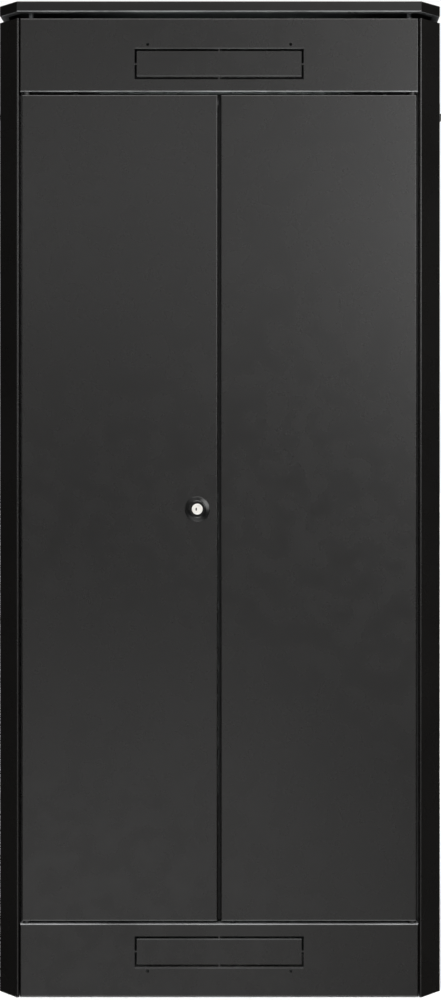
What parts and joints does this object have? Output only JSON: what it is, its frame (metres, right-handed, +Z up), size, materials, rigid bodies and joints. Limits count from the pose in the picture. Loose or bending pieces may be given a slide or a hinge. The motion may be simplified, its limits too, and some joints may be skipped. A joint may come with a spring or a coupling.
{
  "type": "network cabinet",
  "caption": "Floor-standing steel network cabinet with split doors on one side, a framed glass door opposite, tilt-out side panels, a raised roof and 19-inch rails.",
  "frame": {"origin": "centre of the footprint, on the floor", "axes": "+Z up; -Y is the side with the split doors, +Y the side with the glass door; +X to the right for someone who faces the split doors"},
  "size_m": [0.812, 0.8112, 1.79],
  "materials": {
    "powder_coat": "fine-textured powder coat",
    "zinc_sheet": "zinc-plated sheet",
    "zinc_fixings": "bright zinc plate",
    "spring_steel": "drawn wire",
    "black_plastic": "fine-grained moulding",
    "lock_metal": "nickel-plated die casting",
    "tinted_glass": "tempered, grey tint",
    "black_rubber": "matt"
  },
  "bodies": {
    "frame": {"corner_post_split_left": "powder_coat", "corner_post_split_right": "powder_coat", "corner_post_glass_right": "powder_coat", "corner_post_glass_left": "powder_coat", "top_transom_split": "powder_coat", "bottom_transom_split": "powder_coat", "top_transom_glass": "powder_coat", "bottom_transom_glass": "powder_coat", "top_side_rails": "powder_coat", "bottom_side_rails": "powder_coat", "top_corner_plates": "zinc_sheet", "base_corner_plates": "zinc_sheet", "frame_screws": "zinc_fixings", "roof_cover": "powder_coat", "roof_fixings": "zinc_fixings", "floor_plate": "powder_coat", "depth_bars": "zinc_sheet", "rail_brackets": "zinc_sheet", "rack_rails_split": "zinc_sheet", "rack_rails_glass": "zinc_sheet", "hinge_bushes": "black_plastic", "hinge_pivots": "zinc_fixings", "earth_stud": "zinc_fixings"},
    "foot_split_left": {"foot_split_left": "zinc_fixings"},
    "foot_split_right": {"foot_split_right": "zinc_fixings"},
    "foot_glass_right": {"foot_glass_right": "zinc_fixings"},
    "foot_glass_left": {"foot_glass_left": "zinc_fixings"},
    "left_door": {"split_door_left": "powder_coat", "split_lock_rosette": "black_plastic", "split_lock_barrel": "lock_metal", "split_lock_nut": "zinc_sheet"},
    "left_door_lock": {"split_lock_plug": "lock_metal", "split_lock_cam": "zinc_sheet"},
    "left_hinge_pin": {"hinge_pin_left": "zinc_fixings", "hinge_spring_left": "spring_steel"},
    "right_door": {"split_door_right": "powder_coat", "bolt_guides": "zinc_sheet", "leaf_seal": "black_rubber"},
    "right_hinge_pin": {"hinge_pin_right": "zinc_fixings", "hinge_spring_right": "spring_steel"},
    "upper_shoot_bolt": {"shoot_bolt_top": "zinc_fixings"},
    "lower_shoot_bolt": {"shoot_bolt_bottom": "zinc_fixings"},
    "glass_door": {"glass_door_frame": "powder_coat", "glass_pane": "tinted_glass", "pane_gasket": "black_rubber", "glass_lock_rosette": "black_plastic", "glass_lock_barrel": "lock_metal", "glass_lock_nut": "zinc_sheet"},
    "glass_door_lock": {"glass_lock_plug": "lock_metal", "glass_lock_cam": "zinc_sheet"},
    "glass_hinge_pin": {"hinge_pin_glass": "zinc_fixings", "hinge_spring_glass": "spring_steel"},
    "left_side_panel": {"side_panel_left": "powder_coat", "latch_bezels_left": "black_plastic"},
    "right_side_panel": {"side_panel_right": "powder_coat", "latch_bezels_right": "black_plastic"},
    "latch_slider_split_left": {"latch_slider_split_left": "black_plastic"},
    "latch_slider_glass_left": {"latch_slider_glass_left": "black_plastic"},
    "latch_slider_split_right": {"latch_slider_split_right": "black_plastic"},
    "latch_slider_glass_right": {"latch_slider_glass_right": "black_plastic"}
  },
  "joints": [
    {"name": "left_door_hinge", "type": "hinge", "parent": "frame", "child": "left_door", "pos_m": [-0.347, -0.392, 0.137], "axis": [0, 0, -1], "range_deg": [0, 110]},
    {"name": "right_door_hinge", "type": "hinge", "parent": "frame", "child": "right_door", "pos_m": [0.347, -0.392, 0.137], "axis": [0, 0, 1], "range_deg": [0, 110]},
    {"name": "glass_door_hinge", "type": "hinge", "parent": "frame", "child": "glass_door", "pos_m": [-0.347, 0.392, 0.137], "axis": [0, 0, 1], "range_deg": [0, 110]},
    {"name": "left_door_lock_turn", "type": "hinge", "parent": "left_door", "child": "left_door_lock", "pos_m": [-0.0392, -0.4, 0.87725], "axis": [0, -1, 0], "range_deg": [0, 90]},
    {"name": "glass_door_lock_turn", "type": "hinge", "parent": "glass_door", "child": "glass_door_lock", "pos_m": [0.3185, 0.4, 0.87725], "axis": [0, -1, 0], "range_deg": [0, 90]},
    {"name": "left_panel_tilt", "type": "hinge", "parent": "frame", "child": "left_side_panel", "pos_m": [-0.4, 0, 0.137], "axis": [0, -1, 0], "range_deg": [0, 20]},
    {"name": "right_panel_tilt", "type": "hinge", "parent": "frame", "child": "right_side_panel", "pos_m": [0.4, 0, 0.137], "axis": [0, 1, 0], "range_deg": [0, 20]},
    {"name": "left_hinge_pin_release", "type": "slide", "parent": "left_door", "child": "left_hinge_pin", "axis": [0, 0, -1], "range_m": [0, 0.012], "stiffness_N_per_m": 400, "springref_m": -0.01, "deforming": ["hinge_spring_left"]},
    {"name": "right_hinge_pin_release", "type": "slide", "parent": "right_door", "child": "right_hinge_pin", "axis": [0, 0, -1], "range_m": [0, 0.012], "stiffness_N_per_m": 400, "springref_m": -0.01, "deforming": ["hinge_spring_right"]},
    {"name": "glass_hinge_pin_release", "type": "slide", "parent": "glass_door", "child": "glass_hinge_pin", "axis": [0, 0, -1], "range_m": [0, 0.012], "stiffness_N_per_m": 400, "springref_m": -0.01, "deforming": ["hinge_spring_glass"]},
    {"name": "upper_bolt_throw", "type": "slide", "parent": "right_door", "child": "upper_shoot_bolt", "axis": [0, 0, 1], "range_m": [0, 0.016]},
    {"name": "lower_bolt_throw", "type": "slide", "parent": "right_door", "child": "lower_shoot_bolt", "axis": [0, 0, -1], "range_m": [0, 0.016]},
    {"name": "latch_slider_split_left_throw", "type": "slide", "parent": "left_side_panel", "child": "latch_slider_split_left", "axis": [0, 0, 1], "range_m": [0, 0.014]},
    {"name": "latch_slider_glass_left_throw", "type": "slide", "parent": "left_side_panel", "child": "latch_slider_glass_left", "axis": [0, 0, 1], "range_m": [0, 0.014]},
    {"name": "latch_slider_split_right_throw", "type": "slide", "parent": "right_side_panel", "child": "latch_slider_split_right", "axis": [0, 0, 1], "range_m": [0, 0.014]},
    {"name": "latch_slider_glass_right_throw", "type": "slide", "parent": "right_side_panel", "child": "latch_slider_glass_right", "axis": [0, 0, 1], "range_m": [0, 0.014]},
    {"name": "foot_split_left_height", "type": "slide", "parent": "frame", "child": "foot_split_left", "axis": [0, 0, -1], "range_m": [0, 0.03]},
    {"name": "foot_split_right_height", "type": "slide", "parent": "frame", "child": "foot_split_right", "axis": [0, 0, -1], "range_m": [0, 0.03]},
    {"name": "foot_glass_right_height", "type": "slide", "parent": "frame", "child": "foot_glass_right", "axis": [0, 0, -1], "range_m": [0, 0.03]},
    {"name": "foot_glass_left_height", "type": "slide", "parent": "frame", "child": "foot_glass_left", "axis": [0, 0, -1], "range_m": [0, 0.03]}
  ]
}
